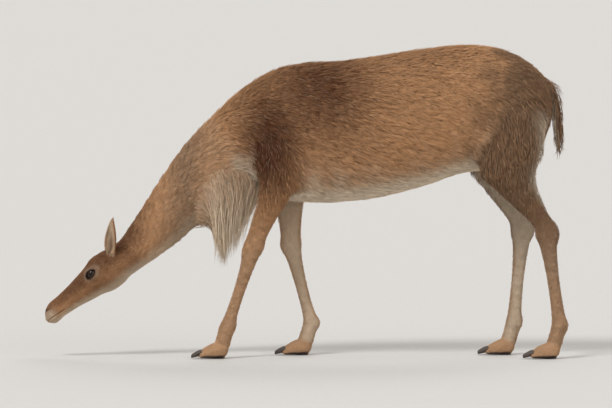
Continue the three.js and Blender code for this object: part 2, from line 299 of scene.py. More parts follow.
def hindleg(stifle, hock, fetlock):
    # Sections from the hip down, each joint at the x given.
    thigh = stifle + 66
    return [
        (322, 750, 52, 34, 66, 13), (320, 690, 88, 50, 80, 13), (316, 625, 102, 54, 88, 13),
        (stifle + 72, 558, 98, 51, 92, 12), (stifle + 68, 504, 82, 45, 94, 11),
        (between(thigh, hock, 0.28), 455, 60, 36, 94, 9), (between(thigh, hock, 0.62), 405, 42, 28, 92, 6),
        (between(thigh, hock, 0.92), 362, 31, 23, 90, 4.2), (hock, 332, 30, 22, 89, 3.8),
        (between(hock, fetlock, 0.14), 298, 23, 20, 88, 3.4),
        (between(hock, fetlock, 0.5), 215, 17.5, 16.5, 86, 3),
        (between(hock, fetlock, 0.86), 130, 18.5, 18, 84, 3), (fetlock, 93, 22.5, 22, 83, 3),
        *footBelow(fetlock - 10, 83),
    ]


stance = {  # side, outline, and the x and y of the knee or of the hock
    "foreleg_left": (left, foreleg(-308, -384, -452), (-384, 78), None),
    "foreleg_right": (right, foreleg(-290, -280, -226), (-280, 78), None),
    "hindleg_left": (left, hindleg(236, 412, 446), None, (412, 89)),
    "hindleg_right": (right, hindleg(212, 348, 326), None, (348, 89)),
}
toeShape = {"length": 82, "spread": 13, "coat": 1.2}


def toeRows(heelX, y, way):
    # A long pad, highest behind and low at its tip: share of the length, height, half width, half thickness.
    t = np.array([
        (0, 22, 8, 9), (0.16, 24, 13, 19), (0.45, 22, 14, 22),
        (0.75, 16, 12.5, 16), (0.93, 11, 9, 10), (1, 9, 4, 4)])
    rows = np.zeros((len(t), 12))
    rows[:, 0] = heelX - t[:, 0] * toeShape["length"] + shift
    rows[:, 1] = y + way * t[:, 0] * 5
    rows[:, 2], rows[:, 4], rows[:, 8] = t[:, 1], -t[:, 2], t[:, 3]
    rows[:, :9] /= 1000
    rows[:, 9], rows[:, 10], rows[:, 11] = 2.2, -0.1, toeShape["coat"] / 1000
    return rows


def toesOf(leg):
    side, outline = leg[:2]
    heelX, y = outline[-2][0], outline[-2][4]
    return [(heelX + 26, side * y + way * toeShape["spread"], way) for way in (left, right)]


# Relief of the face and legs.
# Swellings and hollows of the head: s, h, |y|, three radii and height, millimetres.
faceRelief = [
    (76, 30, 42, 19, 9, 11, 3.6),  # brow over the eye
    (80, 14, 48, 25, 20, 13, 2.6),  # rim of the eye's socket
    (98, -3, 42, 22, 8, 12, 2.6),  # cheekbone
    (122, 12, 34, 15, 9, 12, -2.0),  # hollow before the eye
    (42, 26, 46, 13, 12, 12, -2.4),  # temple
    (54, -28, 42, 22, 16, 14, 3.4),  # jaw muscle
    (98, -34, 26, 22, 9, 14, -2.4),  # behind the chin's bone
    (150, 30, 0, 34, 10, 9, 1.4),  # bridge of the nose
    (156, 6, 30, 26, 9, 9, -1.6),
    (233, 15, 19, 9, 6, 7, 2.0),  # wing of the nostril
    (226, 0, 25, 15, 7, 9, 2.2),  # upper lip
    (240, -2, 11, 9, 9, 7, 1.6),  # lobe beside the split
    (232, -20, 14, 11, 6, 14, 2.0),  # lower lip
    (214, -25, 0, 9, 6, 12, -1.6),  # under the chin
]
mouth = {"height": -8.6, "corner": 200, "droop": 3.4, "width": 0.8, "depth": 2.0}
nostril = {"place": (238.5, 11.5, 13.5), "long": 8.2, "wide": 2.3, "depth": 6.0, "bend": 0.035}


def lipHeight(s):
    # The mouth's line in the head's side view: level in front, drooping to its corner.
    return mouth["height"] - mouth["droop"] * (1 - smoothStep(mouth["corner"] - 6, 240, s))


def nostrilPit(s, h, y):
    # Distance from the nearer nostril's slit as a share of its size: a bent ellipse that runs from low
    # near the middle to high and back on the side, on the tilted front of the muzzle.
    slit = unit(np.array([-0.62, 0.42, 0.66]))
    out = np.array([0.55, 0.62, 0.56])
    out = unit(out - (out @ slit) * slit)
    away = np.stack([s, h, np.abs(y)], -1) - np.array(nostril["place"])
    along, depth = away @ slit, away @ out
    over = away @ np.cross(out, slit) - nostril["bend"] * along**2
    return np.hypot(along / nostril["long"], over / nostril["wide"]) + 9 * (np.abs(depth) > 11)


def faceShape(points):
    # How far the head's surface moves along its normal: Gauss swellings, the mouth's groove with a
    # lip above and below, the split of the upper lip, and the pits of the nostrils.
    s, h, y = headPlace(points)
    move = np.zeros(s.shape)
    for s0, h0, y0, a, b, c, height in faceRelief:
        move += height * bell((s - s0) / a, (h - h0) / b, (np.abs(y) - y0) / c)
    fromLine = h - lipHeight(s)
    inMouth = smoothStep(mouth["corner"] - 5, mouth["corner"] + 7, s)
    move -= mouth["depth"] * inMouth * bell(fromLine / mouth["width"])
    move += inMouth * (0.9 * bell((fromLine - 3.6) / 1.9) + 0.8 * bell((fromLine + 3.4) / 1.8))
    move -= 2.2 * smoothStep(240, 249, s) * smoothStep(-10, -5, h) * bell(y / 1.3)
    pit = nostrilPit(s, h, y)
    move -= nostril["depth"] * np.exp(-(pit**3))
    move += 0.9 * bell((pit - 1.9) / 0.5)
    return move / 1000 * smoothStep(-40, 10, s)


def legShape(points, side, knee, hock, ankle):
    # Swellings of the joints: knee, hock with its heel bone and tendon, and ankle.
    # Each has its x, z and y, three radii and height, millimetres.
    places = [(ankle[0] + 16, 86, ankle[1], 10, 14, 12, 2.6)]
    if knee:
        places += [
            (knee[0] - 22, 300, knee[1], 12, 22, 16, 2.6),
            (knee[0] + 22, 306, knee[1], 9, 12, 12, 2.2),
        ]
    if hock:
        places += [
            (hock[0] + 27, 356, hock[1], 13, 24, 12, 7.5),
            (hock[0] + 8, 395, hock[1] + 24, 10, 34, 9, -4.5),
            (hock[0] + 8, 395, hock[1] - 24, 10, 34, 9, -4.5),
            (hock[0] - 24, 330, hock[1], 12, 24, 16, 2.2),
        ]
    at = points * 1000 * np.array([1, side, 1]) - np.array([shift, 0, 0])
    move = np.zeros(points.shape[:-1])
    for x, z, y, a, b, c, height in places:
        move += height * bell((at[..., 0] - x) / a, (at[..., 2] - z) / b, (at[..., 1] - y) / c)
    return move / 1000


# Eye frame.
eye = {
    "s": 80, "h": 18, "y": 34.5,  # its middle on the head
    "radius": 0.019, "lid": 0.0021, "bulge": 0.0011,  # metres
    "halfLong": 15.4, "above": 11.0, "below": 9.0,  # the lids' opening
}


def eyeFrame(side):
    # Middle of the eyeball, the way towards its front corner, the way up and the way it looks.
    middle = onHead(eye["s"], eye["h"], side * eye["y"])
    look = unit(0.2 * faceWay + 0.16 * crownWay + side * np.array([0, 1, 0]))
    front = faceWay - 0.22 * crownWay
    front = unit(front - (front @ look) * look)
    top = np.cross(look, front)
    return middle, front, top * np.sign(top @ crownWay), look


def almond(points, side):
    # Distance from the eye's middle line of sight as a share of the lids' opening: 1 on its edge,
    # whose upper and lower arcs follow a power of the sine and so meet in two corners.
    middle, front, top, look = eyeFrame(side)
    away = (points - middle) * 1000
    a, b, depth = away @ front, away @ top, away @ look
    a = a - 0.12 * b
    tall = np.where(b > 0, eye["above"], eye["below"])
    share = (np.abs(a) / eye["halfLong"]) ** 1.7 + (np.abs(b) / tall) ** 1.7
    return share ** (1 / 1.7), a, b, depth


def polarGrid(side, radius, rings, sides, reach=math.pi):
    # Rings about the way the eye looks, from its pole to the angle reach.
    middle, front, top, look = eyeFrame(side)
    first, second = (front, top) if np.cross(front, top) @ look < 0 else (top, front)
    polar = np.linspace(0.015, reach - 0.015, rings)[:, None, None]
    turn = (2 * np.pi * np.arange(sides) / sides)[None, :, None]
    way = np.cos(polar) * look + np.sin(polar) * (np.cos(turn) * first + np.sin(turn) * second)
    return middle + radius * way, way


def lidDome(side):
    # A ball a lid's thickness larger than the eye, with a thick edge round the opening and a fold above it.
    grid, way = polarGrid(side, eye["radius"] + eye["lid"], 72, 104)
    share, a, b, depth = almond(grid, side)
    move = 0.6 * bell((share - 1.08) / 0.09)
    fold = 0.5 * bell((share - 1.55) / 0.12) - bell((share - 1.36) / 0.07)
    move += np.where(b > 0, 1, 0.55) * fold
    return grid + way * (move * (depth > 0))[..., None] / 1000


def lidOpening(side):
    # A cone from the eye's middle through the lids, almond in section.
    middle, front, top, look = eyeFrame(side)
    first, second = (front, top) if np.cross(front, top) @ look > 0 else (top, front)
    turn = 2 * np.pi * np.arange(96) / 96
    cos, sin = np.cos(turn), np.sin(turn)
    ring = cos[:, None] * first + sin[:, None] * second
    share = almond(middle + ring * 0.01, side)[0]
    edge = ring / share[:, None] * 0.01
    steps = np.linspace(0.002, 0.034, 12)
    sizes = [0.55 + 0.45 * min(1.15, step / 0.0165) for step in steps]
    return np.stack([middle + edge * size + look * step for size, step in zip(sizes, steps)])


# Ears.
ear = {"root": (14, 30, 31), "length": 104, "splay": math.radians(24), "lean": math.radians(46)}


def earFrame(side):
    # Root of the ear, the way up it, the way its cup opens and the way across it.
    root = onHead(*ear["root"][:2], side * ear["root"][2])
    axis = crownWay * math.cos(ear["lean"]) - faceWay * math.sin(ear["lean"])
    axis = axis * math.cos(ear["splay"]) + np.array([0, side * math.sin(ear["splay"]), 0])
    opening = np.array([-0.55, side * 0.8, 0])
    opening = unit(opening - (opening @ axis) * axis)
    return root, axis, opening, np.cross(opening, axis)


def earGrid(side):
    # A crescent carried up the ear: an outer arc and a shallower inner arc, drawn to a point.
    root, axis, opening, broad = earFrame(side)
    t = np.array([  # share of the length, half width, depth of the cup, wall, forward
        (-0.14, 11.5, 11, 16, -1), (0.03, 14.5, 13, 15, 0), (0.12, 17.2, 13.5, 8, 2),
        (0.26, 19.6, 13, 3.2, 4.5), (0.48, 19.2, 10.5, 2.4, 6), (0.68, 15.2, 8, 2.1, 7.5),
        (0.86, 9.2, 5, 1.9, 8), (0.96, 4, 2.6, 1.6, 7.4), (1, 1.4, 1.2, 1, 6.8)])
    rows = smoothRows(np.column_stack([t[:, 0] * ear["length"], 0 * t[:, 0], 0 * t[:, 0], t]), 1.7)[:, 3:]
    share, wide, deep, wall, forward = rows.T[:, :, None]
    half = np.pi * np.arange(1, 28) / 28
    outer, inner = half[None], half[::-1][None]
    curl = 0.16
    x = np.hstack([wide * np.cos(outer), (wide - np.minimum(wall, wide * 0.55)) * np.cos(inner)])
    z = np.hstack([-deep * np.sin(outer), -(deep - wall) * np.sin(inner)])
    x = x * (1 - curl * smoothStep(-0.3, 0.4, z / deep + 0.35))
    place = root + (share * ear["length"] / 1000)[..., None] * axis
    grid = place + (x / 1000)[..., None] * broad * side + ((z + forward) / 1000)[..., None] * opening
    return grid if side == left else grid[:, ::-1]  # both facing outwards


# One skin from its parts. Each face is marked with the number of its part, where the legs are 1 to 4.
spinePart, footPart, tailPart, earPart, lidPart, openingPart = 0, 5, 6, 7, 8, 9
spineRows = smoothRows(np.vstack([bodyRows(trunkTable), headRows()]), 0.0095)
headStart = pollPoint - 0.045 * faceWay
coarse = spineRows[:, 0] > headStart[0] + 0.02
headFine = smoothRows(spineRows[~coarse], 0.0016)
spineRows = np.vstack([spineRows[coarse], headFine])
spine = ringGrid(spineRows, 160)
spineOut = gridNormals(spine)
spine = spine - spineOut * spineRows[:, None, 11:12]
spine = spine + spineOut * faceShape(spine)[..., None]
skin = meshObject("skin", *tube(spine), part=spinePart)

cutters = []


def joinPart(grid, name, part, way="UNION"):
    piece = meshObject(name, *tube(grid), part)
    cutter = skin.modifiers.new(name, "BOOLEAN")
    cutter.operation, cutter.solver, cutter.object = way, "MANIFOLD", piece
    cutters.append(piece)


for number, (name, leg) in enumerate(stance.items()):
    side, outline, knee, hock = leg
    rows = smoothRows(levelRows(outline, side), 0.0065)
    grid = ringGrid(rows, 44)
    out = gridNormals(grid)
    grid = grid - out * rows[:, None, 11:12]
    grid = grid + out * legShape(grid, side, knee, hock, (outline[-5][0], outline[-5][4]))[..., None]
    joinPart(grid, name + "Skin", 1 + number)
    for toe in toesOf(leg):
        toeGrid = ringGrid(smoothRows(toeRows(*toe), 0.003), 28)
        joinPart(toeGrid - gridNormals(toeGrid) * toeShape["coat"] / 1000, name + "Toe", footPart)
tailStub = [
    (396, 752, 13, 12, 0, 0), (420, 735, 12, 12, 0, 0), (434, 700, 10, 10, 0, 0),
    (441, 650, 9, 9, 0, 0), (445, 600, 7, 7, 0, 0), (446, 574, 3, 3, 0, 0),
]
joinPart(ringGrid(smoothRows(levelRows(tailStub, right), 0.005), 28), "tailStub", tailPart)
for side in (left, right):
    joinPart(earGrid(side), "earCup", earPart)
    joinPart(lidDome(side), "lidDome", lidPart)
for side in (left, right):
    joinPart(polarGrid(side, eye["radius"] + 0.0004, 36, 48)[0], "eyeSocket", openingPart, "DIFFERENCE")
    joinPart(lidOpening(side), "lidOpening", openingPart, "DIFFERENCE")

depsgraph = bpy.context.evaluated_depsgraph_get()
united = bpy.data.meshes.new_from_object(skin.evaluated_get(depsgraph))
skin.modifiers.clear()
skin.data = united
for piece in cutters:
    bpy.data.objects.remove(piece)
print("skin joined:", len(united.vertices), "points")


# The skin's arrays, and the part that each point came from.
mesh = skin.data
count = len(mesh.vertices)


def readArray(items, name, width, kind=np.float32):
    values = np.empty(len(items) * width, kind)
    items.foreach_get(name, values)
    return values.reshape(-1, width) if width > 1 else values


points = readArray(mesh.vertices, "co", 3).astype(float)
points[:, 2] = np.maximum(points[:, 2], 0.0004)  # flat soles
edges = readArray(mesh.edges, "vertices", 2, np.int32)
loopPoint = readArray(mesh.loops, "vertex_index", 1, np.int32)
loopFace = np.repeat(np.arange(len(mesh.polygons)), readArray(mesh.polygons, "loop_total", 1, np.int32))
facePart = readArray(mesh.attributes["part"].data, "value", 1, np.int32)
lowPart, highPart = np.full(count, 99), np.zeros(count, int)
np.minimum.at(lowPart, loopPoint, facePart[loopFace])
np.maximum.at(highPart, loopPoint, facePart[loopFace])
edgeLength = np.linalg.norm(points[edges[:, 0]] - points[edges[:, 1]], axis=1)


def spread(values, weight, rounds, rate=0.5):
    # Each round moves every value towards the mean of its neighbours, as far as its weight allows.
    neighbours = np.bincount(edges.ravel(), minlength=count)
    start, end = edges.T
    for _ in range(rounds):
        total = np.column_stack([
            np.bincount(start, column[end], count) + np.bincount(end, column[start], count)
            for column in values.T])
        values = values + rate * weight[:, None] * (total / neighbours[:, None] - values)
    return values


def nearness(seeds, radius):
    # 1 on the seeds, falling evenly along the edges to 0 at radius.
    near = seeds.astype(float)
    for _ in range(24):
        np.maximum.at(near, edges[:, 0], near[edges[:, 1]] - edgeLength / radius)
        np.maximum.at(near, edges[:, 1], near[edges[:, 0]] - edgeLength / radius)
    return np.clip(near, 0, 1)


lidNear = np.full(count, 9.0)  # shares of the lids' opening, 1 on its edge
for side in (left, right):
    share, a, b, out = almond(points, side)
    near = (np.abs(a) < 30) & (np.abs(b) < 26) & (out > 3)
    lidNear = np.where(near, np.minimum(lidNear, share), lidNear)
legJoin = (lowPart == spinePart) & (highPart > spinePart) & (highPart < footPart)
blends = [  # where two parts meet, how far the blend reaches, rounds
    (legJoin, 0.06, 70),
    ((lowPart > spinePart) & (highPart == footPart), 0.016, 16),
    ((lowPart < footPart) & (highPart == tailPart), 0.016, 14),
    ((lowPart == spinePart) & (highPart == earPart), 0.012, 14),
    ((lowPart == spinePart) & (highPart == lidPart), 0.016, 26),
    ((lowPart == lidPart) & (highPart == openingPart), 0.0012, 2),
]
for seeds, radius, rounds in blends:
    guard = smoothStep(1.16, 1.4, lidNear) if radius > 0.002 else 1  # keeps the lids' edges sharp
    points = spread(points, smoothStep(0, 0.6, nearness(seeds, radius)) * guard, rounds)
points[:, 2] = np.maximum(points[:, 2], 0.0004)
mesh.vertices.foreach_set("co", points.astype(np.float32).ravel())
mesh.update()
normals = readArray(mesh.vertex_normals, "vector", 3).astype(float)
mesh.calc_loop_triangles()
triangles = readArray(mesh.loop_triangles, "vertices", 3, np.int32)
triangleArea = readArray(mesh.loop_triangles, "area", 1)
print("skin smoothed:", len(triangles), "triangles")

# Where each point sits on the spine.
spineRun = unit(np.cross(spineRows[:, 3:6], spineRows[:, 6:9]))
spineLength = np.concatenate([[0], np.cumsum(np.linalg.norm(np.diff(spineRows[:, :3], axis=0), axis=1))])
spineAt = np.concatenate([
    np.argmin(((some[:, None, ::2] - spineRows[None, :, 0:3:2]) ** 2).sum(2), axis=1)
    for some in np.array_split(points, 40)])
part = highPart.copy()
part[part >= lidPart] = spinePart  # the lids count as spine
x, y, z = points[:, 0] * 1000 - shift, points[:, 1] * 1000, points[:, 2] * 1000
ringMiddle, ringTop = spineRows[spineAt, :3], spineRows[spineAt, 6:9]
heightOnRing = ((points - ringMiddle) * ringTop).sum(1) / (ringTop**2).sum(1)  # 1 on the back, -1 below
faceS, faceH, faceY = headPlace(points)
onSpine, onLeg = part == spinePart, (part > spinePart) & (part < footPart)
onFoot, onTail, onEar = part == footPart, part == tailPart, part == earPart
neckRoot = -0.20  # metres along X
onHeadPart = onSpine & (ringMiddle[:, 0] < headStart[0])
onNeck = onSpine & ~onHeadPart & (ringMiddle[:, 0] < neckRoot)
onTrunk = onSpine & ~onHeadPart & ~onNeck

# The lie of the coat: from the muzzle back along the spine, down the rump, legs and tail, up the ears.
lieOf = {"thighs": (-0.6, 0, -1), "leg": (0.12, 0, -1), "foot": (-1, 0, -0.55), "tail": (0.05, 0, -1)}
fall = {"trunk": 0.38, "neck": 0.1, "rump": 1.5}  # how much it falls for each step along the spine
flow = -spineRun[spineAt]
fallHere = fall["trunk"] + fall["rump"] * smoothStep(290, 415, x)
flow[:, 2] -= np.where(onTrunk, fallHere, np.where(onNeck, fall["neck"], 0))
behind = onTrunk * smoothStep(300, 385, x) * smoothStep(-0.1, -0.5, normals[:, 2])  # between the thighs
flow = flow * (1 - behind)[:, None] + behind[:, None] * np.array(lieOf["thighs"])
flow[onLeg] = lieOf["leg"]
flow[onFoot] = lieOf["foot"]
flow[onTail] = lieOf["tail"]
for side in (left, right):
    flow[onEar & (y * side > 0)] = earFrame(side)[1]
flow = spread(flow, np.clip(nearness(legJoin, 0.10) + 0.15, 0, 1), 60)
flow = unit(flow - (flow * normals).sum(1)[:, None] * normals)

inside, hollow = np.zeros(count), np.zeros(count)  # the open side of the ears, and its middle, whose darker skin is deepened by painted shade
for side in (left, right):
    base, axis, opening, broad = earFrame(side)
    mine = onEar & (y * side > 0)
    inside = np.where(mine, smoothStep(0.1, 0.55, normals @ opening), inside)
    across, upEar = (points - base) @ broad * 1000, (points - base) @ axis * 1000
    hollow = np.where(mine, inside * np.exp(-((across / 8) ** 2)) * smoothStep(78, 30, upEar), hollow)

# The coat's depth, from the section tables, shortest round the lids.
depthOf = {"foot": 0.0017, "tail": 0.019, "ear": 0.0013}  # metres
legDepth = np.array(stance["hindleg_left"][1])[::-1]
depth = spineRows[spineAt, 11].copy()
depth[onLeg] = np.interp(z[onLeg], legDepth[:, 1], legDepth[:, 5]) / 1000
depth[onFoot], depth[onTail], depth[onEar] = depthOf["foot"], depthOf["tail"], depthOf["ear"]
depth = spread(depth[:, None], np.full(count, 0.6), 12)[:, 0]
depth *= np.where(onHeadPart, 0.35 + 0.65 * smoothStep(1.2, 2.4, lidNear), 1)

# Bare places: the lids' edges, the nostrils, the split and edges of the lips, and the soles.
pit = nostrilPit(faceS, faceH, faceY)
lipEdge = 0.85 * bell((faceH - lipHeight(faceS)) / 0.85)
lipEdge *= smoothStep(mouth["corner"] - 2, mouth["corner"] + 8, faceS)
lipSplit = 0.7 * smoothStep(242, 249, faceS) * smoothStep(-9, -5, faceH) * smoothStep(2.2, 0.8, np.abs(faceY))
bareFace = np.maximum(np.maximum(1 - smoothStep(1.15, 1.75, pit), lipSplit), lipEdge)
bare = np.maximum(onHeadPart * bareFace, 1 - smoothStep(1.07, 1.2, lidNear))
bare = np.maximum(bare, onFoot * smoothStep(13, 8, z) * smoothStep(-0.2, -0.6, normals[:, 2]))
bare = np.maximum(bare, onLeg * smoothStep(6, 2, z))

# Markings: how pale, and how far from fawn (0) to rufous (1) or dusky brown (-1); on the rump, hind legs and
# lower neck the dusky brown is painted shade.
paleness = {
    "belly": 0.86, "aboveBelly": 0.16, "groin": 0.85, "breast": 0.85, "neck": 0.1, "throat": (0.42, 0.6),
    "innerLeg": 0.56, "thigh": 0.5, "shin": 0.14, "toes": 0.14,
    "cheek": 0.6, "muzzle": 0.45, "lids": 0.2, "tail": 0.5, "ear": (0.62, 0.12),
}
bellyLine = np.interp(x, [-430, -330, -200, 0, 120, 200, 300], [500, 492, 466, 466, 492, 530, 566])
patches = {  # x, z, half length, half height and strength of the dark ones, in the side view; the shoulder's is a deeper rufous with painted shadow where the neck meets it
    "shoulderRufousAndShadow": (-345, 590, 70, 125, 1.0), "withers": (-215, 725, 125, 110, 0.82),
}
# The rump's, hind legs' and lower neck's dusky values are painted shade; the ears' third value adds painted
# shade to their hollows.
redness = {
    "topLine": 0.35, "crown": (0.42, 0.3), "muzzle": -0.14, "rump": -0.85, "shin": -0.2,
    "hindleg": (-0.4, -0.45), "neck": (-0.05, -0.62), "tail": -0.75, "ear": (0.3, -0.5, -0.5),
}
wobble = waves(points, 0.07, 3)[0]  # breaks every edge up
inward = -np.sign(y) * normals[:, 1]
belly = paleness["belly"] * smoothStep(bellyLine + 30, bellyLine - 30, z + 11 * wobble)
belly += paleness["aboveBelly"] * smoothStep(bellyLine + 110, bellyLine + 10, z + 20 * wobble) * (1 - belly)
under = smoothStep(-0.3, -0.85, heightOnRing + 0.07 * wobble)
breast = smoothStep(-325, -385, x) * smoothStep(0.05, -0.75, heightOnRing + 0.1 * wobble)
breast *= smoothStep(-590, -450, x)
thigh = smoothStep(0.45, 0.9, normals[:, 0]) * smoothStep(400, 470, z) * smoothStep(700, 640, z) * (x > 200)
shin = smoothStep(420, 250, z)
cheek = smoothStep(-0.35, -0.85, heightOnRing)
toHead = smoothStep(-560, -735, x)
lidRing = bell((lidNear - 1.5) / 0.2)
aboutMouth = smoothStep(212, 242, faceS) * smoothStep(18, 4, faceH)
inner = smoothStep(0.15, 0.8, inward + 0.1 * wobble)


pale = np.zeros(count)
pale = np.where(onTrunk, most(belly, paleness["groin"] * smoothStep(-0.35, -0.8, normals[:, 2])), pale)
throat = between(*paleness["throat"], toHead) * under
pale = np.where(onNeck, most(paleness["neck"] * (1 - toHead), throat), pale)
pale = np.where(onNeck | onTrunk, most(pale, paleness["breast"] * breast), pale)
onLegPale = most(paleness["innerLeg"] * inner, paleness["thigh"] * thigh, paleness["shin"] * shin)
pale = np.where(onLeg, onLegPale, np.where(onFoot, paleness["toes"], pale))
onHeadPale = most(paleness["cheek"] * cheek, paleness["muzzle"] * aboutMouth, paleness["lids"] * lidRing)
pale = np.where(onHeadPart, onHeadPale, pale)
pale = np.where(onTail, paleness["tail"] * smoothStep(0.2, -0.6, normals[:, 0]), pale)
# Painted shade with the darker skin: the ears' hollows are less pale.
pale = np.where(onEar, inside * between(*paleness["ear"], hollow), pale)

# The shoulder patch: a deeper rufous, darkened further by painted shadow from the neck.
shoulderRufousAndShadow, withers = (much * bell((x - x0) / a, (z - z0) / b) for x0, z0, a, b, much in patches.values())
front = most(shoulderRufousAndShadow, withers, redness["topLine"] * smoothStep(0.25, 0.95, heightOnRing))
# Painted shade: the rump and haunches turn dusky brown.
rump = smoothStep(130, 310, x + 24 * wobble - 0.12 * (z - 650))
crown = redness["crown"][0] + redness["crown"][1] * smoothStep(-0.3, 0.6, heightOnRing)
# Painted shade: the hind legs turn dusky brown, more so upwards.
hindlegPaintedShade = redness["hindleg"][0] + redness["hindleg"][1] * smoothStep(120, 460, z)
# Painted shade: the lower neck turns dusky brown.
neckPaintedShade = (redness["neck"][0] + redness["neck"][1] * smoothStep(-480, -590, x)) * (1 - toHead)
# Painted shade with the darker skin: the ears' hollows turn dusky.
earRed = redness["ear"][0] + redness["ear"][1] * inside + redness["ear"][2] * hollow
rich = np.where(onTrunk, front * (1 - rump) + redness["rump"] * rump, 0)
rich = np.where(onLeg, np.where(x < 0, front + redness["shin"] * shin, hindlegPaintedShade), rich)
rich = np.where(onNeck, most(front * smoothStep(-520, -430, x), crown * toHead) + neckPaintedShade, rich)
rich = np.where(onHeadPart, crown + redness["muzzle"] * smoothStep(150, 230, faceS), rich)
rich = np.where(onTail, redness["tail"], np.where(onEar, earRed, rich))
pale, rich = spread(np.column_stack([pale, rich]), np.full(count, 0.8), 8).T


# Shader graphs.
def plug(tree, socket, value):
    if isinstance(value, bpy.types.NodeSocket):
        tree.links.new(value, socket)
    else:
        socket.default_value = value


def mixed(tree, share, a, b, way="MIX"):
    made = tree.nodes.new("ShaderNodeMix")
    made.data_type, made.blend_type = "RGBA", way
    for socket, value in zip((made.inputs[0], made.inputs[6], made.inputs[7]), (share, a, b)):
        plug(tree, socket, value)
    return made.outputs[2]


def worked(tree, way, a, b=0.0, c=0.0):
    made = tree.nodes.new("ShaderNodeMath")
    made.operation = way
    for socket, value in zip(made.inputs, (a, b, c)):
        plug(tree, socket, value)
    return made.outputs[0]


def ranged(tree, value, fromLow, fromHigh, toLow=0.0, toHigh=1.0):
    made = tree.nodes.new("ShaderNodeMapRange")
    made.interpolation_type = "SMOOTHSTEP"
    for socket, given in zip(made.inputs, (value, fromLow, fromHigh, toLow, toHigh)):
        plug(tree, socket, given)
    return made.outputs[0]


def objectNoise(tree, size, detail=3.0, stretch=(1, 1, 1)):
    # Noise about size metres across, on Object coordinates.
    place = tree.nodes.new("ShaderNodeTexCoord")
    turned = tree.nodes.new("ShaderNodeMapping")
    turned.inputs["Scale"].default_value = stretch
    made = tree.nodes.new("ShaderNodeTexNoise")
    made.inputs["Scale"].default_value = 1 / size
    made.inputs["Detail"].default_value = detail
    tree.links.new(place.outputs["Object"], turned.inputs["Vector"])
    tree.links.new(turned.outputs["Vector"], made.inputs["Vector"])
    return made.outputs["Fac"]


def attribute(tree, name):
    made = tree.nodes.new("ShaderNodeAttribute")
    made.attribute_name = name
    return made


def bump(tree, height, strength, distance):
    made = tree.nodes.new("ShaderNodeBump")
    made.inputs["Strength"].default_value = strength
    made.inputs["Distance"].default_value = distance
    tree.links.new(height, made.inputs["Height"])
    return made.outputs["Normal"]


def freshMaterial(name):
    made = bpy.data.materials.new(name)
    made.use_nodes = True
    return made, made.node_tree, made.node_tree.nodes["Principled BSDF"]


coatColours = {
    "fawn": "b2845c", "rufous": "431d08", "duskAndShade": "69503b", "cream": "dccdb6",
    "cloud": "8a6648", "bare": "2b211c", "bareLight": "3d302a", "sheen": "c08552",
}


def coatColour(tree):
    # Dusky brown, which is painted shade in places, fawn, rufous or cream by the markings, varied by cloudy
    # noise, by each tuft's own tone, and by painted shade from a darker root to a lighter tip.
    marks = attribute(tree, "coatMarks")
    split = tree.nodes.new("ShaderNodeSeparateColor")
    tree.links.new(marks.outputs["Color"], split.inputs[0])
    paleMark, richMark, tone = split.outputs
    along = marks.outputs["Alpha"]
    cloud = ranged(tree, objectNoise(tree, 0.09), 0.3, 0.7)
    duskAndShade, fawn, rufous, cloudy, cream = (
        linear(coatColours[name]) for name in ("duskAndShade", "fawn", "rufous", "cloud", "cream"))
    base = mixed(tree, ranged(tree, richMark, 0.0, 0.5), duskAndShade, fawn)
    base = mixed(tree, ranged(tree, richMark, 0.5, 1.0), base, rufous)
    base = mixed(tree, worked(tree, "MULTIPLY", cloud, 0.22), base, cloudy)
    base = mixed(tree, paleMark, base, cream)
    strength = worked(tree, "MULTIPLY_ADD", tone, 0.36, 0.82)
    # Painted shade: darker towards each tuft's root, lighter at its tip.
    strength = worked(tree, "MULTIPLY", strength, ranged(tree, along, 0.0, 1.0, 0.66, 1.06))
    lit = tree.nodes.new("ShaderNodeHueSaturation")
    lit.inputs["Saturation"].default_value = 1.0
    plug(tree, lit.inputs["Value"], strength)
    tree.links.new(base, lit.inputs["Color"])
    return lit.outputs["Color"]


def coatMaterial():
    material, tree, shader = freshMaterial("woolCoat")
    tree.links.new(coatColour(tree), shader.inputs["Base Color"])
    shader.inputs["Roughness"].default_value = 0.92
    shader.inputs["Specular IOR Level"].default_value = 0.25
    shader.inputs["Sheen Weight"].default_value = 0.18
    shader.inputs["Sheen Tint"].default_value = linear(coatColours["sheen"])
    shader.inputs["Sheen Roughness"].default_value = 0.5
    return material


def skinMaterial():
    material, tree, shader = freshMaterial("shortFurAndSkin")
    bareness = attribute(tree, "bare").outputs["Fac"]
    grain = objectNoise(tree, 0.0012, 2.0)
    speckle = ranged(tree, objectNoise(tree, 0.004), 0.35, 0.7)
    hide = mixed(tree, speckle, linear(coatColours["bare"]), linear(coatColours["bareLight"]))
    tree.links.new(mixed(tree, bareness, coatColour(tree), hide), shader.inputs["Base Color"])
    tree.links.new(ranged(tree, bareness, 0.0, 1.0, 0.92, 0.5), shader.inputs["Roughness"])
    shader.inputs["Specular IOR Level"].default_value = 0.35
    tree.links.new(bump(tree, grain, 0.35, 0.0006), shader.inputs["Normal"])
    return material


def writeMarks(thing, colours):
    thing.data.color_attributes.new("coatMarks", "FLOAT_COLOR", "POINT").data.foreach_set(
        "color", np.asarray(colours, np.float32).ravel())


# Painted shade: how much darker the hair is at its root, more under a deep coat and in the ears' hollows; the
# skin between the tufts takes it too.
rootPaintedShade = 0.15 + 0.4 * smoothStep(0.002, 0.012, depth) + 0.4 * hollow
writeMarks(skin, np.column_stack([pale, 0.5 + 0.5 * rich, np.full(count, 0.5), 1 - 0.6 * rootPaintedShade]))
mesh.attributes.new("bare", "FLOAT", "POINT").data.foreach_set("value", bare.astype(np.float32))
mesh.attributes.remove(mesh.attributes["part"])
mesh.materials.clear()
mesh.materials.append(skinMaterial())
wool = coatMaterial()
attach(skin, "root")
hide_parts("head", "neck", "trunk", "tail", "ear_left", "ear_right", *stance)


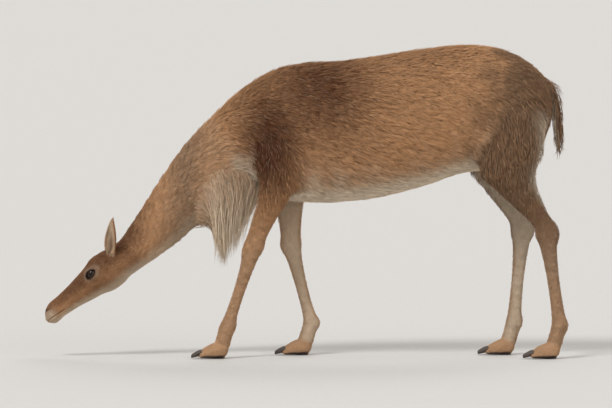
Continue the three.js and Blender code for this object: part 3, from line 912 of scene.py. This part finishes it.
# The coat.
def tuftMesh(name, path, over, half, thick, rootUV, marks, rootDark, soft):
    # Each tuft is a closed spindle along its path: a root point, rings of left, right and top, a tip.
    # over is the way its top faces; half and thick are its half width and thickness at the rings.
    # soft is the way the coat's own surface faces there: shading leans to it, which keeps hair soft.
    # Without it, as on thin parts that show hair from both sides, each tuft is shaded by its own shape.
    number, levels = path.shape[:2]
    way = unit(np.gradient(path, axis=1))
    over = unit(over - (over * way).sum(2)[..., None] * way)
    sideways = np.cross(over, way)
    inner = path[:, 1:-1]
    wide, tall = half[..., None] * sideways[:, 1:-1], thick[..., None] * over[:, 1:-1]
    rings = np.stack([inner - wide, inner + wide, inner + tall], 2).reshape(number, -1, 3)
    made = np.concatenate([path[:, :1], rings, path[:, -1:]], 1)
    corners = made.shape[1]
    faces = [(2, 1, 0), (3, 2, 0), (1, 3, 0)]
    for ring in range(levels - 3):
        a = 1 + 3 * ring
        for k, n in ((0, 1), (1, 2), (2, 0)):
            faces += [(a + k, a + n, a + n + 3), (a + k, a + n + 3, a + k + 3)]
    a = corners - 4
    faces += [(a, a + 1, corners - 1), (a + 1, a + 2, corners - 1), (a + 2, a, corners - 1)]
    faces = np.array(faces)
    allFaces = (np.arange(number)[:, None, None] * corners + faces).reshape(-1, 3)
    thing = meshObject(name, made.reshape(-1, 3), [allFaces])
    share = np.concatenate([[0], np.repeat(np.arange(1, levels - 1), 3), [levels - 1]]) / (levels - 1)
    across = np.concatenate([[0], np.tile([-1, 1, 0], levels - 2), [0]])
    patch = 0.0015 * np.column_stack([across, 2 * share - 1])
    uv = np.clip(rootUV, 0.002, 0.998)[:, None] + patch
    layer = thing.data.uv_layers.new(name="OFBake")
    layer.data.foreach_set("uv", uv.reshape(-1, 2)[allFaces.ravel()].astype(np.float32).ravel())
    # Painted shade: each tuft darkens towards its root by rootDark.
    along = 1 - rootDark[:, None] * (1 - share[None])
    writeMarks(thing, np.concatenate([np.repeat(marks[:, None], corners, 1), along[..., None]], 2))
    if soft is not None:
        edge = 0.55 * across[None, :, None] * np.repeat(sideways[:, 1:2], corners, 1)
        facing = unit(soft[:, None] + edge).reshape(-1, 3)
        thing.data.normals_split_custom_set_from_vertices(facing.tolist())
    thing.data.materials.append(wool)
    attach(thing, "root")
    print(name + ":", len(allFaces), "triangles")
    return thing


def rootsOn(chosen, number, source):
    # Roots spread over the chosen triangles by area and by how many tufts their coat needs.
    total = np.cumsum(triangleArea[chosen] * triangleNeed[chosen])
    picks = (np.arange(number) + source.random(number)) / number * total[-1]
    corners = triangles[chosen[np.minimum(np.searchsorted(total, picks), len(chosen) - 1)]]
    r, t = np.sqrt(source.random(number)), source.random(number)
    weights = np.stack([1 - r, r * (1 - t), r * t], 1)
    return lambda values: (values[corners] * (weights if values.ndim == 1 else weights[..., None])).sum(1)


def spineUV(root, low, high):
    # Along the spine between two lengths, and round its section.
    alongX, alongZ = (root[:, None, k] - spineRows[None, :, k] for k in (0, 2))
    at = np.argmin(alongX**2 + alongZ**2, 1)
    away, upward = root - spineRows[at, :3], spineRows[at, 6:9]
    turn = np.arctan2((away * upward).sum(1) / np.linalg.norm(upward, axis=1), -away[:, 1])
    return np.column_stack([(spineLength[at] - low) / (high - low), turn / (2 * np.pi) + 0.5])


def legUV(root, legs):
    # Up the leg, and round it, the left leg in the lower half and the right in the upper.
    outlines = [np.array(stance[name][1])[::-1] for name in legs]
    middles = [np.interp(root[:, 2] * 1000, rows[:, 1], rows[:, 0]) + shift for rows in outlines]
    middle = np.where(root[:, 1] < 0, *middles)
    aside = np.abs(root[:, 1]) * 1000 - 82
    turn = np.arctan2(aside, root[:, 0] * 1000 - middle) / (2 * np.pi) + 0.5
    return np.column_stack([root[:, 2] / 0.8, 0.5 * turn + 0.5 * (root[:, 1] > 0)])


def earTailUV(root):
    # The tail in the lower half, each ear in a quarter above it, every one by length and turn.
    tailTurn = np.arctan2(root[:, 1], root[:, 0] - 0.675) / (2 * np.pi) + 0.5
    uv = np.column_stack([(root[:, 2] - 0.55) / 0.23, 0.5 * tailTurn])
    for side in (left, right):
        base, axis, opening, broad = earFrame(side)
        away = root - base
        turn = np.arctan2(away @ opening, away @ broad) / (2 * np.pi) + 0.5
        mine = (root[:, 0] < 0) & (root[:, 1] * side > 0)
        upEar = (away @ axis + 0.02) / 0.13 * 0.5 + 0.25 * (side + 1)
        uv = np.where(mine[:, None], np.column_stack([upEar, 0.5 + 0.5 * turn]), uv)
    return uv


region = np.select(
    [onHeadPart, onNeck, onTrunk & (x < -190), onTrunk & (x < 120), onTrunk,
     (onLeg | onFoot) & (x < 0), onLeg | onFoot], range(7), 7)
length = 2.0 * depth + 0.0026
length = length * (1 + 0.35 * (onTrunk * pale) * smoothStep(0.1, -0.5, normals[:, 2])) * (1 + 0.9 * inside)
halfWidth = 0.5 * (0.0006 + 0.054 * length)
calm = 1 - 0.6 * onTrunk * smoothStep(-0.45, -0.85, normals[:, 2])  # flat, even hair on the belly
calm = np.where(onTail | onEar, 0.5, calm)
need = (1 - smoothStep(0.25, 0.6, bare)) / (length * halfWidth)
triangleNeed = need[triangles].min(1)
triangleRegion = region[triangles[:, 0]]
coatPieces = {
    "coatHead": (0, 31000), "coatNeck": (1, 31000), "coatShoulders": (2, 31000), "coatBarrel": (3, 32500),
    "coatRump": (4, 32500), "coatForelegs": (5, 30000), "coatHindlegs": (6, 32500), "coatEarsTail": (7, 9000),
}
lie = {"sink": 0.1, "arch": 0.2, "sway": 0.14, "clump": 0.09, "clumpSize": 0.028, "clumpShade": 0.2}


def coatPiece(name, number, code):
    # Tufts that leave the skin steeply, bend over along the lie of the coat and lean together in clumps.
    source = np.random.default_rng(100 + code)
    at = rootsOn(np.flatnonzero(triangleRegion == code), int(number * thin), source)
    root, out, lay, deep = at(points), unit(at(normals)), at(flow), at(depth)
    total = len(root)
    swayWave, swaySlope = waves(root, lie["clumpSize"], 11 + code)
    fineWave, fineSlope = waves(root, lie["clumpSize"] * 0.4, 31 + code)
    lay = unit(lay - (lay * out).sum(1)[:, None] * out)
    even = at(calm)
    swing = (lie["sway"] * swayWave + source.normal(0, 0.12, total)) * even
    lay = lay * np.cos(swing)[:, None] + np.cross(out, lay) * np.sin(swing)[:, None]
    size = at(length) * source.uniform(0.72, 1.2, total)
    lift = np.arcsin(np.clip(0.8 * deep / size, 0.07, 0.5)) * (1 + 0.2 * fineWave) * even
    lift += source.normal(0, 0.04, total)
    steep, flat = lift + lie["arch"] * even, lift - 0.06
    heads = lambda angle: lay * np.cos(angle)[:, None] + out * np.sin(angle)[:, None]
    middle = root + 0.42 * size[:, None] * heads(steep)
    tip = root + size[:, None] * heads(flat)
    pull = swaySlope + 0.6 * fineSlope
    pull = (pull - (pull * out).sum(1)[:, None] * out) * even[:, None]
    tip = tip + lie["clump"] * size[:, None] * pull
    path = np.stack([root - out * (lie["sink"] * deep)[:, None], middle, tip], 1)
    path[..., 2] = np.maximum(path[..., 2], 0.0012)  # above the floor
    half = at(halfWidth) * source.uniform(0.8, 1.15, total)
    tone = np.clip(0.5 + 0.2 * source.normal(size=total) + 0.08 * swayWave, 0, 1)
    paleHere = np.clip(at(pale) + source.normal(0, 0.05, total), 0, 1)
    richHere = np.clip(0.5 + 0.5 * at(rich) + source.normal(0, 0.05, total), 0, 1)
    marks = np.column_stack([paleHere, richHere, tone])
    soft = out - lie["clumpShade"] * pull
    if code <= 4:
        reach = spineLength[spineAt[region == code]]
        uv = spineUV(root, reach.min(), reach.max())
    elif code <= 6:
        uv = legUV(root, [("foreleg_left", "foreleg_right"), ("hindleg_left", "hindleg_right")][code - 5])
    else:
        uv = earTailUV(root)
        soft = None
    over = np.repeat(out[:, None], 3, 1)
    return tuftMesh(name, path, over, half[:, None], (0.7 * half)[:, None], uv, marks, at(rootPaintedShade), soft)


for name, (code, number) in coatPieces.items():
    coatPiece(name, number, code)


# The long white hair under the breast.
bib = {"locks": 3300, "levels": 7, "tip": (-466, 228), "half": 0.00105, "clump": 0.010, "loose": 0.006}


def chestHair():
    # Locks that leave the breast forwards and fall to a loose point, on a cubic between root and tip:
    # longest in the middle of their patch, and short, lying and less white towards its edges.
    source = np.random.default_rng(5)
    core = smoothStep(-560, -455, x) * smoothStep(585, 470, z) * smoothStep(76, 44, np.abs(y))
    breast = (onTrunk | onNeck) & (x < -345) & (core > 0.02) & (normals[:, 2] < 0.15)
    chosen = np.flatnonzero(breast[triangles].all(1))
    number = int(bib["locks"] * thin)
    at = rootsOn(chosen, number, source)
    root, out, lay, core = at(points), unit(at(normals)), at(flow), at(core)[:, None]
    tipX, tipZ = (bib["tip"][0] + shift) / 1000, bib["tip"][1] / 1000
    reach = source.random(number) ** 1.6
    end = np.column_stack([
        tipX + 0.42 * (root[:, 0] - tipX) + source.normal(0, bib["loose"], number),
        0.5 * root[:, 1] + source.normal(0, bib["loose"], number),
        tipZ + 0.16 * reach + 0.3 * (root[:, 2] - 0.43) + 0.5 * np.abs(root[:, 0] - tipX)])
    end += bib["clump"] * waves(end * np.array([1, 1, 0.2]), 0.022, 8)[1] * np.array([1, 1, 0.3])
    end = root + (end - root) * (0.15 + 0.85 * core) + (1 - core) * 0.03 * unit(lay + 0.3 * out)
    t = np.linspace(0, 1, bib["levels"])[None, :, None]
    first = root + (0.3 + 0.7 * core) * (out * 0.024 + np.array([-0.006, 0, -0.018]))
    second = end + (root - end) * 0.38 + core * np.array([-0.012, 0, 0.004])
    path = ((1 - t) ** 3 * (root - 0.003 * out)[:, None] + 3 * t * (1 - t) ** 2 * first[:, None]
            + 3 * t**2 * (1 - t) * second[:, None] + t**3 * end[:, None])
    wave = waves(root, 0.02, 8)[1]
    path = path + 0.003 * np.sin(9 * t + 6 * source.random((number, 1, 1))) * t * wave[:, None]
    share = np.linspace(0, 1, bib["levels"])[1:-1]
    half = bib["half"] * (1 - 0.75 * share**2)[None] * source.uniform(0.7, 1.25, (number, 1))
    over = np.repeat(unit(out + np.array([-0.5, 0, 0.1]))[:, None], bib["levels"], 1)
    tone = np.clip(0.5 + 0.35 * core[:, 0] + 0.16 * source.normal(size=number), 0, 1)
    white = np.clip(0.3 + 0.65 * core[:, 0] + source.normal(0, 0.08, number), 0, 0.96)
    marks = np.column_stack([white, np.full(number, 0.5), tone])
    uv = np.column_stack([(root[:, 0] + 0.35) / 0.26, root[:, 1] / 0.16 + 0.5])
    return tuftMesh("chestHair", path, over, half, 0.6 * half, uv, marks, np.full(number, 0.25), None)


bibPiece = chestHair()
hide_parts("chest_hair")


# Eyes.
eyeLook = {"pupil": "030202", "iris": ("1d0f08", "3a2212"), "rim": "0d0705", "roughness": 0.05}


def eyeMaterial():
    # Gaze coordinates in eye radii: a lying pupil, a streaked brown iris, and a near-black rim and white.
    material, tree, shader = freshMaterial("wetEye")
    gaze = attribute(tree, "gaze").outputs["Vector"]
    split = tree.nodes.new("ShaderNodeSeparateXYZ")
    tree.links.new(gaze, split.inputs[0])
    across, upward = split.outputs[0], split.outputs[1]
    share = lambda value, scale: worked(tree, "DIVIDE", worked(tree, "ABSOLUTE", value), scale)
    squared = lambda value, scale: worked(tree, "POWER", share(value, scale), 2.0)
    pupil = worked(tree, "SQRT", worked(tree, "ADD", squared(across, 0.34), squared(upward, 0.17)))
    radius = worked(tree, "SQRT", worked(tree, "ADD", squared(across, 1.0), squared(upward, 1.0)))
    streak = tree.nodes.new("ShaderNodeTexNoise")
    streak.inputs["Scale"].default_value = 9
    streak.inputs["Detail"].default_value = 4
    spoke = tree.nodes.new("ShaderNodeVectorMath")
    spoke.operation = "NORMALIZE"
    flat = tree.nodes.new("ShaderNodeCombineXYZ")
    tree.links.new(across, flat.inputs[0])
    tree.links.new(upward, flat.inputs[1])
    tree.links.new(flat.outputs[0], spoke.inputs[0])
    tree.links.new(spoke.outputs[0], streak.inputs["Vector"])
    iris = mixed(tree, ranged(tree, streak.outputs["Fac"], 0.3, 0.7), *map(linear, eyeLook["iris"]))
    iris = mixed(tree, ranged(tree, radius, 0.46, 0.62), iris, linear(eyeLook["rim"]))
    colour = mixed(tree, ranged(tree, pupil, 0.9, 1.12), linear(eyeLook["pupil"]), iris)
    tree.links.new(colour, shader.inputs["Base Color"])
    shader.inputs["Roughness"].default_value = eyeLook["roughness"]
    shader.inputs["Specular IOR Level"].default_value = 0.32
    return material


wetEye = eyeMaterial()
for side, node in ((left, "eye_left"), (right, "eye_right")):
    grid, way = polarGrid(side, eye["radius"] - 0.0004, 64, 64)
    middle, front, top, look = eyeFrame(side)
    aside = np.arccos(np.clip(way @ look, -1, 1))
    bulge = eye["bulge"] * np.clip(1 - (aside / math.radians(40)) ** 2, 0, 1) ** 1.5  # the cornea
    eyeball = meshObject(node + "Ball", *tube(grid + way * bulge[..., None]))
    away = (readArray(eyeball.data.vertices, "co", 3) - middle) / eye["radius"]
    eyeball.data.attributes.new("gaze", "FLOAT_VECTOR", "POINT").data.foreach_set(
        "vector", np.column_stack([away @ front, away @ top, away @ look]).astype(np.float32).ravel())
    eyeball.data.materials.append(wetEye)
    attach(eyeball, "root")
    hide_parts(node)


lash = {"number": 46, "length": 0.0095, "half": 0.00022, "droop": 0.45, "colours": ("120d0a", "241a13")}


def lashes():
    # Fine dark hairs from the upper lid's edge, longest at its middle, curving down and out.
    source = np.random.default_rng(9)
    paths, overs, uvs = [], [], []
    for side in (left, right):
        middle, front, top, look = eyeFrame(side)
        number = lash["number"]  # on each upper lid
        t = np.linspace(0.12, 0.88, number) + source.normal(0, 0.006, number)
        a = eye["halfLong"] * np.cos(np.pi * t)
        tall = eye["above"] * np.clip(1 - (np.abs(a) / eye["halfLong"]) ** 1.7, 0, 1) ** (1 / 1.7) * 1.05
        a = a + 0.12 * tall
        radius = (eye["radius"] + 0.0016) * 1000
        outward = np.sqrt(radius**2 - a**2 - tall**2)
        root = middle + (a[:, None] * front + tall[:, None] * top + outward[:, None] * look) / 1000
        reach = lash["length"] * np.sin(np.pi * t) ** 0.5 * source.uniform(0.8, 1.1, number)
        fan = (a / eye["halfLong"])[:, None] * front * 0.5
        steps = np.linspace(0, 1, 5)[None, :, None]
        grow = unit(look - 0.1 * top + fan + source.normal(0, 0.05, (number, 3)))
        droop = -lash["droop"] * top * steps**2
        paths.append(root[:, None] + reach[:, None, None] * (steps * grow[:, None] + droop))
        overs.append(np.broadcast_to(top, (number, 5, 3)))
        uvs.append(np.column_stack([t, np.full(number, 0.5 + 0.25 * side)]))
    path, over = np.concatenate(paths), np.concatenate(overs)
    share = np.linspace(0, 1, 5)[1:-1]
    half = lash["half"] * (1 - 0.6 * share)[None] * np.ones((len(path), 1))
    marks = np.full((len(path), 3), 0.5)
    uv = np.concatenate(uvs)
    return tuftMesh("lashes", path, over, half, 1.6 * half, uv, marks, marks[:, 0], over[:, 0])


lashPiece = lashes()
lashMaterial, lashTree, lashShader = freshMaterial("lashHair")
lashShade = ranged(lashTree, objectNoise(lashTree, 0.003), 0.3, 0.7)
lashColour = mixed(lashTree, lashShade, *map(linear, lash["colours"]))
lashTree.links.new(lashColour, lashShader.inputs["Base Color"])
lashShader.inputs["Roughness"].default_value = 0.5
lashPiece.data.materials[0] = lashMaterial


# Nails.
nailLook = {"colours": ("241d18", "54463a"), "roughness": (0.42, 0.6)}


def hornMaterial():
    material, tree, shader = freshMaterial("nailHorn")
    streaks = ranged(tree, objectNoise(tree, 0.002, 4.0, (0.25, 1, 1)), 0.3, 0.7)
    colour = mixed(tree, streaks, *map(linear, nailLook["colours"]))
    tree.links.new(colour, shader.inputs["Base Color"])
    tree.links.new(ranged(tree, streaks, 0.0, 1.0, *nailLook["roughness"]), shader.inputs["Roughness"])
    tree.links.new(bump(tree, streaks, 0.3, 0.0003), shader.inputs["Normal"])
    return material


horn = hornMaterial()
nailShape = [  # x from the toe's tip, height, half width, half thickness
    (14, 17, 6.6, 5.6), (6, 16, 7.2, 6.8), (-3, 12.6, 6.2, 6.8),
    (-15.5, 7.6, 3.4, 4.4), (-18, 6.4, 2.4, 3.3), (-19.2, 6, 1.1, 1.6),
]
t = np.array(nailShape)
for name, leg in stance.items():
    for number, (heelX, nailY, way) in enumerate(toesOf(leg)):
        rows = np.zeros((len(t), 12))
        rows[:, 0] = heelX - toeShape["length"] + t[:, 0] + shift
        rows[:, 1], rows[:, 2], rows[:, 4], rows[:, 8] = nailY + way * 5, t[:, 1], -t[:, 2], t[:, 3]
        rows[:, :9] /= 1000
        rows[:, 9] = 2.4
        grid = ringGrid(smoothRows(rows, 0.0012), 36)
        grid[..., 2] = np.maximum(grid[..., 2], 0.0006)
        node = f"nail_{name}_{number + 1}"
        nail = meshObject(node + "Horn", *tube(grid))
        nail.data.materials.append(horn)
        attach(nail, "root")
        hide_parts(node)

# Floor.
ground = {"reach": 120, "colours": ("c6c4c1", "c9c7c4"), "roughness": 0.9}  # metres
floorPoints = ground["reach"] * np.array([(-1, -1, 0), (1, -1, 0), (1, 1, 0), (-1, 1, 0)], float)
floor = meshObject("floor", floorPoints, [np.array([[0, 1, 2, 3]])])
floorMaterial, floorTree, floorShader = freshMaterial("paleFloor")
floorShade = ranged(floorTree, objectNoise(floorTree, 0.015), 0.3, 0.7)
floorColour = mixed(floorTree, floorShade, *map(linear, ground["colours"]))
floorTree.links.new(floorColour, floorShader.inputs["Base Color"])
floorShader.inputs["Roughness"].default_value = ground["roughness"]
floor.data.materials.append(floorMaterial)
